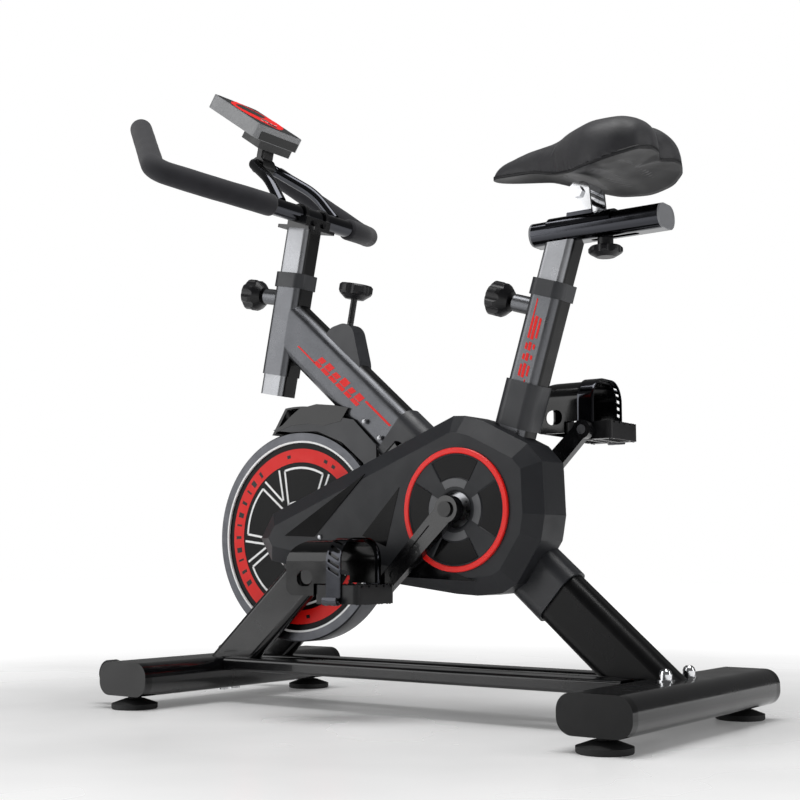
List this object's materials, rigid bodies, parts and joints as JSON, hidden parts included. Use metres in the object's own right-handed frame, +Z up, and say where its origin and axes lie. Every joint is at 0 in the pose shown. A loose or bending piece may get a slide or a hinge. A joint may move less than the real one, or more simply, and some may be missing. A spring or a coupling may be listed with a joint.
{
  "type": "indoor spin bike",
  "caption": "Indoor cycling trainer with a front flywheel, belt cover, adjustable saddle and handlebar posts, toe-cage pedals and a small display.",
  "frame": {"origin": "on the floor, at the middle of the four levelling feet", "axes": "+X to the rear (saddle), -X to the front (handlebar), -Y is the rider's left (belt side), +Z up"},
  "size_m": [0.94, 0.545, 1.0105],
  "materials": {
    "frame_paint": "gloss",
    "grey_paint": "gloss",
    "cover_plastic": "satin",
    "black_plastic": "satin",
    "red_trim": "gloss",
    "flywheel_iron": "painted and machined",
    "steel": "satin",
    "chrome": "polished",
    "rubber": "matte",
    "belt_rubber": "matte",
    "saddle_skin": "grained",
    "foam": "fine matte foam",
    "strap_plastic": "gloss",
    "console_plastic": "satin",
    "button_plastic": "gloss"
  },
  "bodies": {
    "frame": {"backbone_tube": "frame_paint", "head_sleeve": "grey_paint", "seat_sleeve": "grey_paint", "bottom_bracket_shell": "frame_paint", "front_fork": "frame_paint", "base_rails": "frame_paint", "front_stabiliser": "frame_paint", "rear_stabiliser": "frame_paint", "stabiliser_caps": "black_plastic", "stabiliser_bolts": "chrome", "transport_bracket": "frame_paint", "bearings": "steel", "post_collars": "black_plastic", "drive_belt": "belt_rubber", "left_belt_cover": "cover_plastic", "right_belt_cover": "cover_plastic", "cover_disc": "cover_plastic", "cover_ring": "red_trim", "cover_collars": "cover_plastic", "cover_screws": "chrome", "flywheel_guard": "black_plastic", "guard_side_plates": "cover_plastic", "brake_housing": "cover_plastic"},
    "flywheel": {"flywheel": "flywheel_iron", "flywheel_axle": "steel", "axle_pulley": "steel"},
    "cranks": {"crank_spindle": "steel", "crank_pulley": "steel", "crank_arm_left": "frame_paint", "crank_arm_right": "frame_paint", "pedal_axles": "steel"},
    "pedal_left": {"pedal_left": "black_plastic", "toe_cage_left": "black_plastic", "toe_strap_left": "strap_plastic"},
    "pedal_right": {"pedal_right": "black_plastic", "toe_cage_right": "black_plastic", "toe_strap_right": "strap_plastic"},
    "seat_post": {"seat_post": "chrome", "seat_rail": "frame_paint", "rail_end_plugs": "console_plastic"},
    "saddle_slider": {"saddle_slider": "chrome"},
    "saddle_clamp_knob": {"saddle_clamp_knob": "black_plastic"},
    "saddle": {"saddle": "saddle_skin", "saddle_clamp": "chrome"},
    "seat_pin": {"seat_pin": "black_plastic"},
    "bar_pin": {"bar_pin": "black_plastic"},
    "bar_post": {"bar_post": "chrome", "bar_clamp": "chrome", "handlebar": "frame_paint", "hand_grips": "foam", "console_loop": "frame_paint"},
    "console": {"console": "console_plastic"},
    "console_button": {"console_button": "button_plastic"},
    "brake_rod": {"brake_rod": "steel"},
    "brake_knob": {"brake_knob": "black_plastic"},
    "transport_wheels": {"transport_wheels": "rubber"},
    "levelling_foot_front_left": {"levelling_foot_front_left": "rubber"},
    "levelling_foot_front_right": {"levelling_foot_front_right": "rubber"},
    "levelling_foot_rear_left": {"levelling_foot_rear_left": "rubber"},
    "levelling_foot_rear_right": {"levelling_foot_rear_right": "rubber"}
  },
  "joints": [
    {"name": "flywheel_spin", "type": "hinge", "parent": "frame", "child": "flywheel", "pos_m": [-0.234, 0, 0.261], "axis": [0, 1, 0], "continuous": true},
    {"name": "crank_spin", "type": "hinge", "parent": "frame", "child": "cranks", "pos_m": [0.098, 0, 0.294], "axis": [0, 1, 0], "continuous": true},
    {"name": "pedal_left_spin", "type": "hinge", "parent": "cranks", "child": "pedal_left", "pos_m": [-0.02429, 0, 0.17591], "axis": [0, 1, 0], "continuous": true},
    {"name": "pedal_right_spin", "type": "hinge", "parent": "cranks", "child": "pedal_right", "pos_m": [0.22029, 0, 0.41209], "axis": [0, 1, 0], "continuous": true},
    {"name": "seat_height", "type": "slide", "parent": "frame", "child": "seat_post", "axis": [0.299, 0, 0.9542], "range_m": [-0.025, 0.1]},
    {"name": "saddle_fore_aft", "type": "slide", "parent": "seat_post", "child": "saddle_slider", "axis": [1, 0, 0], "range_m": [-0.015, 0.045]},
    {"name": "saddle_clamp_turn", "type": "hinge", "parent": "saddle_slider", "child": "saddle_clamp_knob", "pos_m": [0.305, 0, 0.65], "axis": [0, 0, 1], "range_deg": [-720, 0]},
    {"name": "saddle_tilt", "type": "hinge", "parent": "saddle_slider", "child": "saddle", "pos_m": [0.277, 0, 0.733], "axis": [0, 1, 0], "range_deg": [-12, 12]},
    {"name": "seat_pin_pull", "type": "slide", "parent": "frame", "child": "seat_pin", "axis": [-0.9542, 0, 0.299], "range_m": [-0.006, 0.01], "stiffness_N_per_m": 800},
    {"name": "bar_height", "type": "slide", "parent": "frame", "child": "bar_post", "axis": [0.1959, 0, 0.9806], "range_m": [-0.025, 0.1]},
    {"name": "bar_pin_pull", "type": "slide", "parent": "frame", "child": "bar_pin", "axis": [-0.9806, 0, 0.1959], "range_m": [-0.006, 0.01], "stiffness_N_per_m": 800},
    {"name": "console_tilt", "type": "hinge", "parent": "bar_post", "child": "console", "pos_m": [-0.335, 0, 0.883], "axis": [0, 1, 0], "range_deg": [-15, 15]},
    {"name": "console_key", "type": "slide", "parent": "console", "child": "console_button", "axis": [-0.5736, 0, -0.8192], "range_m": [0, 0.0015], "stiffness_N_per_m": 400},
    {"name": "brake_press", "type": "slide", "parent": "frame", "child": "brake_rod", "axis": [-0.1908, 0, -0.9816], "range_m": [0, 0.0046], "stiffness_N_per_m": 4000},
    {"name": "brake_turn", "type": "hinge", "parent": "brake_rod", "child": "brake_knob", "pos_m": [-0.138, 0, 0.634], "axis": [0.1908, 0, 0.9816], "continuous": true},
    {"name": "transport_wheel_spin", "type": "hinge", "parent": "frame", "child": "transport_wheels", "pos_m": [-0.4715, 0, 0.047], "axis": [0, 1, 0], "continuous": true},
    {"name": "foot_turn_front_left", "type": "hinge", "parent": "frame", "child": "levelling_foot_front_left", "pos_m": [-0.3975, -0.205, 0.02], "axis": [0, 0, 1], "continuous": true},
    {"name": "foot_turn_front_right", "type": "hinge", "parent": "frame", "child": "levelling_foot_front_right", "pos_m": [-0.3975, 0.205, 0.02], "axis": [0, 0, 1], "continuous": true},
    {"name": "foot_turn_rear_left", "type": "hinge", "parent": "frame", "child": "levelling_foot_rear_left", "pos_m": [0.3975, -0.205, 0.02], "axis": [0, 0, 1], "continuous": true},
    {"name": "foot_turn_rear_right", "type": "hinge", "parent": "frame", "child": "levelling_foot_rear_right", "pos_m": [0.3975, 0.205, 0.02], "axis": [0, 0, 1], "continuous": true}
  ],
  "couplings": [
    {"joint": "crank_spin", "follows": "flywheel_spin", "ratio": 0.25}
  ]
}
